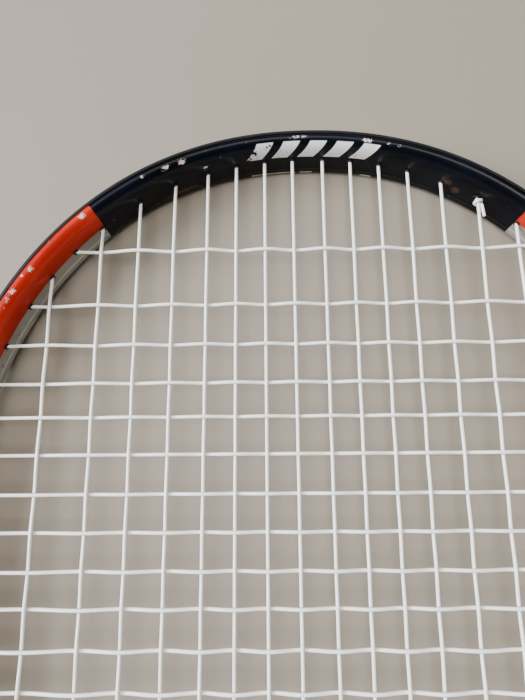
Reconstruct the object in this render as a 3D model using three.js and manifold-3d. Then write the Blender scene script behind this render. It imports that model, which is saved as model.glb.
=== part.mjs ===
// A strung tennis racket: an aluminium hairpin tube closed by a throat bridge, a bumper guard and grommet
// strips in its outer groove, a main string and a cross string woven through them, and an octagonal handle.
// Millimetres. X is across the racket, Y runs from the butt end (0) to the tip, Z is square to the string
// bed. The widest line of the head is where its upper and lower halves meet.
import * as THREE from "three";
import { mergeVertices } from "three/addons/utils/BufferGeometryUtils.js";
import Module from "manifold-3d";

const wasm = await Module();
wasm.setup();

// ---- driving dimensions
const RACKET_LENGTH = 685;
const HEAD_HALF_WIDTH = 126; // inside the head, at its widest
const HEAD_TOP_DEPTH = 141.7; // from the widest line up to the inside of the tip
const HEAD_BOTTOM_DEPTH = 185.3; // from the widest line down to the inside of the bridge
const HEAD_TOP_EXPONENT = 2.15; // of the superellipse above the widest line
const BUMPER_REACH = 8.9; // from the tube's inner wall to the outside of the bumper guard
const TIP_Y = RACKET_LENGTH - BUMPER_REACH;
const WIDEST_Y = TIP_Y - HEAD_TOP_DEPTH;

const MAIN_OFFSETS = [6, 17.1, 28.4, 39.7, 52.6, 66.3, 80.6, 99]; // of the mains on each side of the middle
const CROSS_DEPTHS = [
  38.3, 60.2, 75.6, 90, 102.4, 115.7, 129.3, 142.1, 154.7, 166.6, 179.3, 191.9, 205.1, 219.1, 233.6, 248.6,
  263.6, 277.1, 291.6,
]; // of the crosses below the inside of the tip
const STRING_RADIUS = 0.65;
const MAIN_WEAVE = 0.35; // how far a main stands off the middle plane where it meets a cross
const CROSS_WEAVE = 1.15; // the same for a cross, which bends more because it is strung last

const SHAFT_HALF_GAP = 4.7; // from the middle plane to the tube's inner wall in the handle
const SHAFT_END_Y = 14;
const DEPARTURE = THREE.MathUtils.degToRad(48); // where the tube leaves the oval, below the widest line
const THROAT_HEADING = THREE.MathUtils.degToRad(66); // of the straight throat arms, below horizontal
const THROAT_TOP_BEND = 150;
const THROAT_BOTTOM_BEND = 130;
const BRIDGE_START = THREE.MathUtils.degToRad(52.5);
const RIVET_ANGLE = THREE.MathUtils.degToRad(61.8); // between the tube's last main and the bridge's first
const RIVET_HEIGHT = 6.3; // above and below the string plane

const GROMMET_INSIDE = 0.9; // how far a grommet's barrel stands out of the inner wall
const MOUTH_GAP = 0.2; // from the barrel's end to where the string bends
const TUBE_CHANNEL = 6.95; // the channel floor that the string lies on, from the tube's inner wall
const BRIDGE_SHIFT = 0.7; // how much deeper the bridge is than the tube, at the strip
const STRING_DEPTH = 1; // from the channel floor to the middle of a string in it
const LANE = 1.5; // the mains' loops lie on one side of the channel and the crosses' on the other
const SHARED_OFFSET = 0.72; // of each of the two strings that share a tie-off grommet
const PLAIN_GROMMET = { bore: 1, barrel: 1.35, hole: 1.75 };
const TIE_OFF_GROMMET = { bore: 1.75, barrel: 2.2, hole: 2.6 };
const GAP = 0.3; // between pieces that touch
const OVERSHOOT = 3; // of a cutting tool, past the faces it cuts through

const HANDLE = { halfWidth: 15, halfHeight: 13.6, bevel: 5.8 }; // the bare octagon that the grip is wound on
const CAP_SKIRT_TOP = 26.7;
const PALLET_TOP = 198;
const GRIP = { from: 8.6, to: 184, thickness: 1.5 };
const FINISHING_TAPE = { from: 184.3, to: 197, thickness: 1.3 };
const COLLAR = { from: 191, step: 200, to: 207, thickness: 1.5 };

// ---- materials
const paint = (color, roughness, metalness = 0) =>
  new THREE.MeshStandardMaterial({ color, roughness, metalness });
const FRAME_RED = paint(0xc43a1e, 0.35, 0.1);
const BRIDGE_BLACK = paint(0x0c0e14, 0.3, 0.1);
const NYLON_BLACK = paint(0x17181a, 0.65);
const STRING_WHITE = paint(0xe9e9e2, 0.4);
const FOAM_GREY = paint(0x6b6a66, 0.8);
const PALLET_WHITE = paint(0xcfccc2, 0.6);
const GRIP_BLACK = paint(0x1a1a1c, 0.85);
const TAPE_RED = paint(0xb5301b, 0.5);
const RUBBER_BLACK = paint(0x121213, 0.75);
const CAP_BLACK = paint(0x0f0f11, 0.45);
const STEEL = paint(0xb8b8bb, 0.3, 1);

// ---- helpers for solids
function solid(geometry) {
  const bare = geometry.clone();
  bare.deleteAttribute("normal");
  bare.deleteAttribute("uv");
  const merged = mergeVertices(bare, 1e-3);
  return new wasm.Manifold(
    new wasm.Mesh({
      numProp: 3,
      vertProperties: merged.attributes.position.array,
      triVerts: new Uint32Array(merged.index.array),
    }),
  );
}

function geometryOf(body) {
  const mesh = body.getMesh();
  return new THREE.BufferGeometry()
    .setAttribute("position", new THREE.BufferAttribute(mesh.vertProperties, 3))
    .setIndex(new THREE.BufferAttribute(mesh.triVerts, 1));
}

// A straight prism round the line from a to b.
function rod(a, b, radius, sides = 5) {
  const along = b.clone().sub(a);
  const prism = new THREE.CylinderGeometry(radius, radius, along.length(), sides);
  const upright = new THREE.Vector3(0, 1, 0);
  prism.applyQuaternion(new THREE.Quaternion().setFromUnitVectors(upright, along.normalize()));
  return solid(prism.translate(...a.clone().add(b).multiplyScalar(0.5).toArray()));
}

// A curve through given points whose sections stand exactly at the points.
class Route extends THREE.Curve {
  constructor(points) {
    super();
    this.points = points;
  }
  getPoint(t, target = new THREE.Vector3()) {
    const steps = this.points.length - 1;
    const i = Math.min(Math.floor(t * steps + 1e-6), steps - 1);
    return target.lerpVectors(this.points[i], this.points[i + 1], t * steps - i);
  }
  getPointAt(t, target) {
    return this.getPoint(t, target);
  }
  getTangentAt(t, target = new THREE.Vector3()) {
    const last = this.points.length - 1;
    const i = Math.round(t * last);
    const before = this.points[i].clone().sub(this.points[Math.max(i - 1, 0)]).normalize();
    const after = this.points[Math.min(i + 1, last)].clone().sub(this.points[i]).normalize();
    return target.copy(before).add(after).normalize();
  }
}

// Sweeps a section along a route. A flat route's section is drawn as [outward, up] pairs; see Wall.
function sweep(points, outline, cavity) {
  const toShape = ([u, v]) => new THREE.Vector2(-v, -u);
  const shape = new THREE.Shape(outline.map(toShape));
  if (cavity) shape.holes.push(new THREE.Path(cavity.map(toShape)));
  return new THREE.ExtrudeGeometry(shape, { steps: points.length - 1, extrudePath: new Route(points) });
}

// Mirrors half a section, given from the middle of one face to the middle of the other, about v = 0.
const mirrored = (half) => [...half, ...half.map(([u, v]) => [u, -v]).reverse()];

// ---- the walls that everything on the head is placed from
// A wall is a flat line of facets, with its outside on the right hand. Places on it are (s along, u outward,
// v up).
class Wall {
  constructor(points) {
    this.points = points;
    this.marks = [0];
    for (let i = 1; i < points.length; i++) {
      this.marks.push(this.marks[i - 1] + points[i].distanceTo(points[i - 1]));
    }
    this.normals = points.map((_, i) => {
      const t = new Route(points).getTangentAt(i / (points.length - 1));
      return new THREE.Vector3(t.y, -t.x, 0);
    });
  }
  get length() {
    return this.marks.at(-1);
  }
  facet(s) {
    let i = 0;
    while (i < this.points.length - 2 && this.marks[i + 1] <= s) i++;
    return i;
  }
  at(s, u = 0, v = 0) {
    const i = this.facet(s);
    const share = (s - this.marks[i]) / (this.marks[i + 1] - this.marks[i]);
    const edge = (k) => this.points[k].clone().addScaledVector(this.normals[k], u);
    return edge(i).lerp(edge(i + 1), share).setZ(v);
  }
  axes(s) {
    const i = this.facet(s);
    const tangent = this.points[i + 1].clone().sub(this.points[i]).normalize();
    return { tangent, normal: new THREE.Vector3(tangent.y, -tangent.x, 0) };
  }
  // The place s of the wall point nearest to p, on the line that lies u outward.
  nearest(p, u = 0) {
    let best = [Infinity, 0];
    for (let i = 0; i < this.points.length - 1; i++) {
      const a = this.points[i].clone().addScaledVector(this.normals[i], u);
      const b = this.points[i + 1].clone().addScaledVector(this.normals[i + 1], u);
      const side = b.clone().sub(a);
      const share = THREE.MathUtils.clamp(p.clone().sub(a).dot(side) / side.lengthSq(), 0, 1);
      const gap = a.addScaledVector(side, share).distanceTo(p);
      if (gap < best[0]) best = [gap, this.marks[i] + share * (this.marks[i + 1] - this.marks[i])];
    }
    return best[1];
  }
  // Points of the wall line from s0 to s1, its own corners included.
  between(s0, s1, u = 0, v = 0, margin = 0.5) {
    const corners = this.marks.filter((m) => m > Math.min(s0, s1) + margin && m < Math.max(s0, s1) - margin);
    if (s1 < s0) corners.reverse();
    return [s0, ...corners, s1].map((s) => this.at(s, u, v));
  }
}

const ovalBelow = (angle) =>
  new THREE.Vector3(HEAD_HALF_WIDTH * Math.cos(angle), WIDEST_Y - HEAD_BOTTOM_DEPTH * Math.sin(angle), 0);

const ovalAbove = (angle) =>
  new THREE.Vector3(
    HEAD_HALF_WIDTH * Math.cos(angle) ** (2 / HEAD_TOP_EXPONENT),
    WIDEST_Y + HEAD_TOP_DEPTH * Math.sin(angle) ** (2 / HEAD_TOP_EXPONENT),
    0,
  );

// The right half of the hairpin's inner wall, from the shaft's end up to the tip.
function rightHalf() {
  const start = ovalBelow(DEPARTURE);
  const heading = Math.atan2(
    HEAD_BOTTOM_DEPTH * Math.cos(DEPARTURE),
    HEAD_HALF_WIDTH * Math.sin(DEPARTURE),
  );
  // An arc that turns a downward heading from one angle to another.
  const arc = (from, a, b, radius, steps) =>
    Array.from({ length: steps + 1 }, (_, k) => {
      const angle = a + ((b - a) * k) / steps;
      const x = from.x - radius * (Math.sin(angle) - Math.sin(a));
      return new THREE.Vector3(x, from.y - radius * (Math.cos(a) - Math.cos(angle)), 0);
    });
  const topBend = arc(start, heading, THROAT_HEADING, THROAT_TOP_BEND, 3);
  const armEndX = SHAFT_HALF_GAP + THROAT_BOTTOM_BEND * (1 - Math.sin(THROAT_HEADING));
  const armStart = topBend.at(-1);
  const armEndY = armStart.y - (armStart.x - armEndX) * Math.tan(THROAT_HEADING);
  const armEnd = new THREE.Vector3(armEndX, armEndY, 0);
  const bottomBend = arc(armEnd, THROAT_HEADING, Math.PI / 2, THROAT_BOTTOM_BEND, 3);
  const lowerSteps = 6;
  const lower = Array.from({ length: lowerSteps - 1 }, (_, k) =>
    ovalBelow((DEPARTURE * (lowerSteps - 1 - k)) / lowerSteps),
  );
  const upperSteps = 11;
  const upper = Array.from({ length: upperSteps }, (_, k) => ovalAbove(((Math.PI / 2) * k) / upperSteps));
  const down = [...topBend, ...bottomBend, new THREE.Vector3(SHAFT_HALF_GAP, SHAFT_END_Y, 0)];
  return [...down.reverse(), ...lower, ...upper];
}

const halfWall = rightHalf();
const flipped = (p) => new THREE.Vector3(-p.x, p.y, p.z);
const tubeWall = new Wall([...halfWall, new THREE.Vector3(0, TIP_Y, 0), ...halfWall.map(flipped).reverse()]);

// The bridge runs on round the oval from the left arm to the right one.
const bridgeSteps = 12;
const bridgeWall = new Wall(
  Array.from({ length: bridgeSteps + 1 }, (_, k) => {
    const angle = BRIDGE_START + ((Math.PI - 2 * BRIDGE_START) * k) / bridgeSteps;
    return flipped(ovalBelow(angle));
  }),
);

// ---- where each string meets the head
function headTopAt(x) {
  const share = Math.abs(x) / HEAD_HALF_WIDTH;
  return WIDEST_Y + HEAD_TOP_DEPTH * (1 - share ** HEAD_TOP_EXPONENT) ** (1 / HEAD_TOP_EXPONENT);
}
const headBottomAt = (x) => WIDEST_Y - HEAD_BOTTOM_DEPTH * Math.sqrt(1 - (x / HEAD_HALF_WIDTH) ** 2);
function headWidthAt(y) {
  const above = y > WIDEST_Y;
  const exponent = above ? HEAD_TOP_EXPONENT : 2;
  const depth = Math.abs(y - WIDEST_Y) / (above ? HEAD_TOP_DEPTH : HEAD_BOTTOM_DEPTH);
  return HEAD_HALF_WIDTH * (1 - depth ** exponent) ** (1 / exponent);
}

// A grommet stands square to the facet nearest to a string's end.
function grommet(end, wall = tubeWall, size = PLAIN_GROMMET) {
  const s = wall.nearest(end);
  const { normal, tangent } = wall.axes(s);
  const foot = wall.at(s);
  const rise = Math.max(foot.clone().sub(end).dot(normal), 0); // of the bridge's wedge in front of the tube
  const floor = TUBE_CHANNEL + (wall === bridgeWall ? BRIDGE_SHIFT : 0);
  const place = (u, along, v) =>
    foot.clone().addScaledVector(normal, u).addScaledVector(tangent, along).setZ(v);
  const mark = wall.nearest(place(floor + STRING_DEPTH, 0, 0), floor + STRING_DEPTH);
  return { wall, size, s, place, rise, floor, mark };
}

const MAINS_ON_BRIDGE = 5; // on each side of the middle
const TIE_OFF_MAIN = 5; // the sixth from the middle takes a cross knot, at the head right and throat left
const TIE_OFF_CROSS = 16; // the seventeenth cross takes the main string's two knots
const HEAD_MARGIN = 2; // a main nearer than this to a cross's end misses it

const mains = [...MAIN_OFFSETS.map((x) => -x).reverse(), ...MAIN_OFFSETS].map((x) => {
  const order = MAIN_OFFSETS.indexOf(Math.abs(x));
  const sizeIf = (tied) => (tied && order === TIE_OFF_MAIN ? TIE_OFF_GROMMET : PLAIN_GROMMET);
  const wall = order < MAINS_ON_BRIDGE ? bridgeWall : tubeWall;
  return {
    x,
    head: grommet(new THREE.Vector3(x, headTopAt(x), 0), tubeWall, sizeIf(x > 0)),
    throat: grommet(new THREE.Vector3(x, headBottomAt(x), 0), wall, sizeIf(x < 0)),
  };
});
const crosses = CROSS_DEPTHS.map((depth, order) => {
  const y = TIP_Y - depth;
  const size = order === TIE_OFF_CROSS ? TIE_OFF_GROMMET : PLAIN_GROMMET;
  const end = (side) => grommet(new THREE.Vector3(side * headWidthAt(y), y, 0), tubeWall, size);
  return { y, left: end(-1), right: end(1) };
});
const leftMain = mains[MAIN_OFFSETS.length - 1 - TIE_OFF_MAIN];
const rightMain = mains[MAIN_OFFSETS.length + TIE_OFF_MAIN];
const tieCross = crosses[TIE_OFF_CROSS];
const grommets = [...mains.flatMap((m) => [m.head, m.throat]), ...crosses.flatMap((c) => [c.left, c.right])];

// ---- the strings
const BEND_REACH = 1.9; // along the channel, from a grommet to where the string has turned into its lane
const MAIN_LANE = 1;
const CROSS_LANE = -1;

const meets = (main, cross) => Math.abs(main.x) < headWidthAt(cross.y) - HEAD_MARGIN;
const mainIsOver = (i, k) => (i + k) % 2 === 1;
const crossing = (i, k, height) =>
  new THREE.Vector3(mains[i].x, crosses[k].y, mainIsOver(i, k) ? height : -height);
const mainCrossings = (i) =>
  crosses.flatMap((cross, k) => (meets(mains[i], cross) ? [crossing(i, k, MAIN_WEAVE)] : []));
const crossCrossings = (k) =>
  mains.flatMap((main, i) => (meets(main, crosses[k]) ? [crossing(i, k, -CROSS_WEAVE)] : []));

// From a grommet's mouth out to the channel, where the string turns along the wall in four short bends.
function wayOut(g, direction, lane) {
  const inHole = g.size === TIE_OFF_GROMMET ? lane * SHARED_OFFSET : 0;
  return [
    g.place(-g.rise - GROMMET_INSIDE - MOUTH_GAP, 0, inHole),
    g.place(g.floor - 0.3, 0, inHole),
    g.place(g.floor + 0.45, 0.12 * direction, inHole || 0.12 * lane),
    g.place(g.floor + 0.95, 0.65 * direction, inHole || 0.5 * lane),
    g.wall.at(g.mark + BEND_REACH * direction, g.floor + STRING_DEPTH, LANE * lane),
  ];
}

// The loop outside the frame, from one grommet to another.
function loop(from, to, lane) {
  const direction = Math.sign(to.mark - from.mark);
  const channel = from.wall.between(
    from.mark + BEND_REACH * direction,
    to.mark - BEND_REACH * direction,
    from.floor + STRING_DEPTH,
    LANE * lane,
  );
  return [
    ...wayOut(from, direction, lane),
    ...channel.slice(1, -1),
    ...wayOut(to, -direction, lane).reverse(),
  ];
}

function mainRoute() {
  const points = loop(tieCross.left, mains[0].throat, MAIN_LANE);
  mains.forEach((main, i) => {
    const upward = i % 2 === 0;
    const run = mainCrossings(i);
    points.push(...(upward ? run.reverse() : run));
    const end = upward ? "head" : "throat";
    const next = i < mains.length - 1 ? mains[i + 1][end] : tieCross.right;
    points.push(...loop(main[end], next, MAIN_LANE));
  });
  return points;
}

function crossRoute() {
  const points = loop(rightMain.head, crosses[0].right, CROSS_LANE);
  crosses.forEach((cross, k) => {
    const leftward = k % 2 === 0;
    const run = crossCrossings(k);
    points.push(...(leftward ? run.reverse() : run));
    const end = leftward ? "left" : "right";
    const next = k < crosses.length - 1 ? crosses[k + 1][end] : leftMain.throat;
    points.push(...loop(cross[end], next, CROSS_LANE));
  });
  return points;
}

const STRING_SIDES = 4;
const stringSection = Array.from({ length: STRING_SIDES }, (_, k) => {
  const angle = (2 * Math.PI * k) / STRING_SIDES;
  return [STRING_RADIUS * Math.cos(angle), STRING_RADIUS * Math.sin(angle)];
});

// Two turns round the string that stands in the tie-off grommet, seen as one collar, and the cut tail.
const KNOT = { fromMouth: 2.4, turnRadius: 2.5 * STRING_RADIUS, thickness: 0.62 };
const KNOT_TAIL = { along: 2, aside: 2.2, radius: 0.55 };
function knot(g, hostLane, firstCrossing) {
  const mouth = g.place(-g.rise - GROMMET_INSIDE - MOUTH_GAP, 0, hostLane * SHARED_OFFSET);
  const direction = firstCrossing.clone().sub(mouth).normalize();
  const centre = mouth.clone().addScaledVector(direction, KNOT.fromMouth);
  const turns = new THREE.TorusGeometry(KNOT.turnRadius, KNOT.thickness, 5, 8);
  turns.applyQuaternion(new THREE.Quaternion().setFromUnitVectors(new THREE.Vector3(0, 0, 1), direction));
  const sideways = new THREE.Vector3(0, 0, 1).cross(direction).normalize();
  const root = centre.clone().addScaledVector(sideways, KNOT.turnRadius);
  const end = root.clone().addScaledVector(direction, KNOT_TAIL.along);
  const tail = rod(root, end.addScaledVector(sideways, KNOT_TAIL.aside), KNOT_TAIL.radius);
  return geometryOf(solid(turns.translate(...centre.toArray())).add(tail));
}

// ---- the frame: sections are half outlines, as [outward from the inner wall, up from the string plane]
const TUBE_HALF = [[0, 5.2], [0.5, 9.1], [2, 11.1], [4.2, 10.9], [6.4, 8.2], [7.3, 4.4], [6, 3.7]];
const TUBE_BORE_HALF = [[0.9, 8.8], [2.3, 10.2], [3.9, 10], [5.6, 7.4], [5.1, 3.1]];
const TUBE_ROOM_HALF = [[-0.3, 5.2], [0.2, 9.3], [1.8, 11.45], [4.5, 11.25], [6.75, 8.4], [7.65, 4.4]];
const BRIDGE_HALF = [[0, 4.6], [0.6, 8.6], [2.6, 10.4], [5.2, 10.3], [7.4, 8], [8, 4.4], [6.7, 3.7]];
const STRIP_HALF = [[6.1, 3.3], [7.5, 3.9], [7.6, 3.3], [TUBE_CHANNEL, 2.9]];
const BUMPER_HALF = [
  [6.1, 3.2], [7.65, 4.3], [6.75, 8.4], [4.45, 11.3], [5.2, 11.3], [7.2, 8.8], [BUMPER_REACH, 5.5],
  [8.8, 3.5], [TUBE_CHANNEL, 2.9],
];

const tubeRoom = solid(sweep(tubeWall.points, mirrored(TUBE_ROOM_HALF)));
const grommetHoles = grommets.map((g) =>
  rod(g.place(-g.rise - OVERSHOOT, 0, 0), g.place(g.floor + OVERSHOOT, 0, 0), g.size.hole),
);

// Each rivet's axis is square to the tube: heads on the bridge's inside and on the tube's outside.
// The bridge's face isn't square to the axis, so that the inside head stands off by the lean.
const RIVET = { shank: 1.2, hole: 1.6, head: 1.9, headHeight: 0.8, lean: 1.1, outside: 7.55 };
const rivetLines = [-1, 1].flatMap((side) =>
  [-RIVET_HEIGHT, RIVET_HEIGHT].map((v) => {
    const face = ovalBelow(RIVET_ANGLE);
    const site = grommet(face.setX(side * face.x));
    return {
      inside: site.place(-site.rise - RIVET.lean, 0, v),
      outside: site.place(RIVET.outside, 0, v),
    };
  }),
);
const rivetHoles = rivetLines.map(({ inside, outside }) => rod(inside, outside, RIVET.hole));

function rivet({ inside, outside }) {
  const axis = outside.clone().sub(inside).normalize();
  const head = (at, way) => rod(at, at.clone().addScaledVector(axis, way * RIVET.headHeight), RIVET.head, 8);
  return geometryOf(rod(inside, outside, RIVET.shank).add(head(inside, -1)).add(head(outside, 1)));
}

// Screws through the butt cap's skirt into the tube, one on each side.
const CAP_SCREW = { y: 20, shank: 1.1, hole: 1.5, head: 2.2, headHole: 2.6 };
const CAP_SCREW_X = { tip: 9.6, seat: 13.4, top: HANDLE.halfWidth - 0.1 };
const BEYOND_HANDLE = 20; // outside every face of the handle
const capScrewPoint = (side, x) => new THREE.Vector3(side * x, CAP_SCREW.y, 0);
const capScrewHole = (side) =>
  rod(capScrewPoint(side, CAP_SCREW_X.tip - 1), capScrewPoint(side, BEYOND_HANDLE), CAP_SCREW.hole);
const capHeadHole = (side) =>
  rod(capScrewPoint(side, CAP_SCREW_X.seat - GAP), capScrewPoint(side, BEYOND_HANDLE), CAP_SCREW.headHole, 8);

function frameTube() {
  const tube = solid(sweep(tubeWall.points, mirrored(TUBE_HALF), mirrored(TUBE_BORE_HALF)));
  const holes = [...grommetHoles, ...rivetHoles, capScrewHole(-1), capScrewHole(1)];
  return geometryOf(tube.subtract(wasm.Manifold.union(holes)));
}

function throatBridge() {
  const bridge = solid(sweep(bridgeWall.points, mirrored(BRIDGE_HALF)));
  return geometryOf(bridge.subtract(tubeRoom).subtract(wasm.Manifold.union([...grommetHoles, ...rivetHoles])));
}

// A strip in the outer groove, with a barrel for each of its grommets, rooted below the channel floor.
const BARREL_SUNK = 0.4;
function grommetStrip(outline, wall, from, to) {
  const own = grommets.filter((g) => g.wall === wall && g.s > from && g.s < to);
  const shift = wall === bridgeWall ? BRIDGE_SHIFT : 0;
  const section = mirrored(outline).map(([u, v]) => [u + shift, v]);
  const strip = solid(sweep(wall.between(from, to), section));
  const barrels = own.map((g) =>
    rod(g.place(-g.rise - GROMMET_INSIDE, 0, 0), g.place(g.floor - BARREL_SUNK, 0, 0), g.size.barrel),
  );
  const bores = own.map((g) =>
    rod(g.place(-g.rise - OVERSHOOT, 0, 0), g.place(g.floor + STRING_DEPTH, 0, 0), g.size.bore),
  );
  return geometryOf(wasm.Manifold.union([strip, ...barrels]).subtract(wasm.Manifold.union(bores)));
}

const BUMPER_LAST_CROSS = 3; // the bumper guard ends between the third and the fourth cross
const STRIP_MARGIN = 4;
const BRIDGE_STRIP_MARGIN = 2.4;
const betweenMarks = (a, b) => (a.s + b.s) / 2;
const bumperRight = betweenMarks(crosses[BUMPER_LAST_CROSS - 1].right, crosses[BUMPER_LAST_CROSS].right);
const bumperLeft = betweenMarks(crosses[BUMPER_LAST_CROSS - 1].left, crosses[BUMPER_LAST_CROSS].left);
const stripRightEnd = rightMain.throat.s - STRIP_MARGIN;
const stripLeftEnd = leftMain.throat.s + STRIP_MARGIN;
const bridgeMarks = grommets.filter((g) => g.wall === bridgeWall).map((g) => g.s);

// ---- the handle
// The handle's octagon grown by some thickness, as points in X and Z.
function octagon(growth, { halfWidth, halfHeight, bevel } = HANDLE) {
  const x = halfWidth + growth;
  const z = halfHeight + growth;
  const cut = bevel + growth * (2 - Math.SQRT2);
  const quarter = [[x, z - cut], [x - cut, z]];
  const half = [...quarter, ...quarter.map(([a, b]) => [-a, b]).reverse()];
  return [...half, ...half.map(([a, b]) => [-a, -b])].map(([a, b]) => new THREE.Vector2(a, b));
}

// A section in X and Z drawn out along Y.
function prism(outline, from, to, hole, bevel) {
  const shape = new THREE.Shape(outline);
  if (hole) shape.holes.push(new THREE.Path(hole));
  const edge = bevel || 0;
  const options = {
    depth: to - from - 2 * edge,
    bevelEnabled: edge > 0,
    bevelThickness: edge,
    bevelSize: edge,
    bevelSegments: 2,
    steps: 1,
  };
  return new THREE.ExtrudeGeometry(shape, options).rotateX(Math.PI / 2).translate(0, to - edge, 0);
}

const SHAFT_ROOM = { halfWidth: 12.4, halfHeight: 11.85, bevel: 2.9 }; // the hollow that the two tubes lie in
const PALLET_SCREW = {
  sites: [62, 142],
  shank: 1.5,
  hole: 1.9,
  head: 3,
  headHole: 3.4,
  seat: 12.7,
  headSunk: 0.2,
  tipSunk: 0.5,
};
const palletScrewRod = (y, from, to, radius, sides) =>
  rod(new THREE.Vector3(0, y, from), new THREE.Vector3(0, y, to), radius, sides);

// Half a shell, on one side of the string plane.
function pallet(side) {
  const shell = solid(prism(octagon(0), CAP_SKIRT_TOP + GAP, PALLET_TOP, octagon(0, SHAFT_ROOM)));
  const block = new THREE.BoxGeometry(2 * BEYOND_HANDLE, 2 * PALLET_TOP, 2 * BEYOND_HANDLE);
  const otherHalf = solid(block.translate(0, PALLET_TOP, side * (GAP / 2 - BEYOND_HANDLE)));
  const through = PALLET_SCREW.sites.map((y) =>
    palletScrewRod(y, side * (SHAFT_ROOM.halfHeight - OVERSHOOT), side * BEYOND_HANDLE, PALLET_SCREW.hole),
  );
  const seats = PALLET_SCREW.sites.map((y) =>
    palletScrewRod(y, PALLET_SCREW.seat - GAP, BEYOND_HANDLE, PALLET_SCREW.headHole, 8),
  );
  return geometryOf(shell.subtract(wasm.Manifold.union([otherHalf, ...through, ...seats])));
}

function palletScrew(y) {
  const top = HANDLE.halfHeight - PALLET_SCREW.headSunk;
  const shank = palletScrewRod(y, PALLET_SCREW.tipSunk - HANDLE.halfHeight, top, PALLET_SCREW.shank);
  return geometryOf(shank.add(palletScrewRod(y, PALLET_SCREW.seat, top, PALLET_SCREW.head, 8)));
}

function capScrew(side) {
  const top = capScrewPoint(side, CAP_SCREW_X.top);
  const shank = rod(capScrewPoint(side, CAP_SCREW_X.tip), top, CAP_SCREW.shank);
  const head = rod(capScrewPoint(side, CAP_SCREW_X.seat), top, CAP_SCREW.head, 8);
  return geometryOf(shank.add(head));
}

const CAP_FLARE = { height: 8.2, growth: 1.9, bevel: 1.6 };
const CAP_END_THICKNESS = 4;

function buttCap() {
  const flare = solid(prism(octagon(CAP_FLARE.growth), 0, CAP_FLARE.height, null, CAP_FLARE.bevel));
  const skirt = solid(prism(octagon(0), CAP_END_THICKNESS, CAP_SKIRT_TOP));
  const room = solid(prism(octagon(0, SHAFT_ROOM), CAP_END_THICKNESS, CAP_SKIRT_TOP + OVERSHOOT));
  const holes = [-1, 1].flatMap((side) => [capScrewHole(side), capHeadHole(side)]);
  return geometryOf(flare.add(skirt).subtract(wasm.Manifold.union([room, ...holes])));
}

const COLLAR_EDGE = 1; // its rounded edges
const COLLAR_MOUTH = { halfWidth: 14.2, halfHeight: 12.2, bevel: 3 }; // the opening round the two tubes
function rubberCollar() {
  const innerGrowth = FINISHING_TAPE.thickness + 2 * GAP;
  const outerGrowth = innerGrowth + COLLAR.thickness - COLLAR_EDGE;
  const outer = solid(prism(octagon(outerGrowth), COLLAR.from, COLLAR.to, null, COLLAR_EDGE));
  const room = solid(prism(octagon(innerGrowth), COLLAR.from - OVERSHOOT, COLLAR.step));
  const mouth = solid(prism(octagon(0, COLLAR_MOUTH), COLLAR.from, COLLAR.to + OVERSHOOT));
  return geometryOf(outer.subtract(room.add(mouth)));
}

const sleeve = (inner, thickness, from, to) => prism(octagon(inner + thickness), from, to, octagon(inner));

// The filler between the two tubes, with a hollow top edge that shows in the throat.
const SPACER = { from: 165, to: 214, halfWidth: 4.4, halfHeight: 8.8, hollow: 3 };
function throatSpacer() {
  const { from, to, halfWidth, halfHeight, hollow } = SPACER;
  const outline = new THREE.Shape().moveTo(-halfWidth, from).lineTo(halfWidth, from).lineTo(halfWidth, to);
  outline.quadraticCurveTo(0, to - 2 * hollow, -halfWidth, to);
  const options = { depth: 2 * halfHeight, bevelEnabled: false, curveSegments: 6 };
  return new THREE.ExtrudeGeometry(outline, options).translate(0, 0, -halfHeight);
}

// ---- the assembly
const racket = new THREE.Group();
function add(name, geometry, material) {
  const mesh = new THREE.Mesh(geometry, material);
  mesh.name = name;
  racket.add(mesh);
}

add("frame_tube", frameTube(), FRAME_RED);
add("throat_bridge", throatBridge(), BRIDGE_BLACK);
["left_back", "left_front", "right_back", "right_front"].forEach((corner, i) =>
  add(`bridge_rivet_${corner}`, rivet(rivetLines[i]), STEEL),
);
add("bumper_guard", grommetStrip(BUMPER_HALF, tubeWall, bumperRight, bumperLeft), NYLON_BLACK);
const STRIP_JOINT = 1; // the open space between the bumper guard and a side strip
add(
  "side_grommet_strip_right",
  grommetStrip(STRIP_HALF, tubeWall, stripRightEnd, bumperRight - STRIP_JOINT),
  NYLON_BLACK,
);
add(
  "side_grommet_strip_left",
  grommetStrip(STRIP_HALF, tubeWall, bumperLeft + STRIP_JOINT, stripLeftEnd),
  NYLON_BLACK,
);
add(
  "bridge_grommet_strip",
  grommetStrip(
    STRIP_HALF,
    bridgeWall,
    Math.min(...bridgeMarks) - BRIDGE_STRIP_MARGIN,
    Math.max(...bridgeMarks) + BRIDGE_STRIP_MARGIN,
  ),
  NYLON_BLACK,
);
add("main_string", sweep(mainRoute(), stringSection), STRING_WHITE);
add("cross_string", sweep(crossRoute(), stringSection), STRING_WHITE);

const tieCrossings = crossCrossings(TIE_OFF_CROSS);
const rightMainCrossings = mainCrossings(mains.indexOf(rightMain));
const leftMainCrossings = mainCrossings(mains.indexOf(leftMain));
add("main_start_knot", knot(tieCross.left, CROSS_LANE, tieCrossings[0]), STRING_WHITE);
add("main_end_knot", knot(tieCross.right, CROSS_LANE, tieCrossings.at(-1)), STRING_WHITE);
add("cross_start_knot", knot(rightMain.head, MAIN_LANE, rightMainCrossings[0]), STRING_WHITE);
add("cross_end_knot", knot(leftMain.throat, MAIN_LANE, leftMainCrossings.at(-1)), STRING_WHITE);

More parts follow.
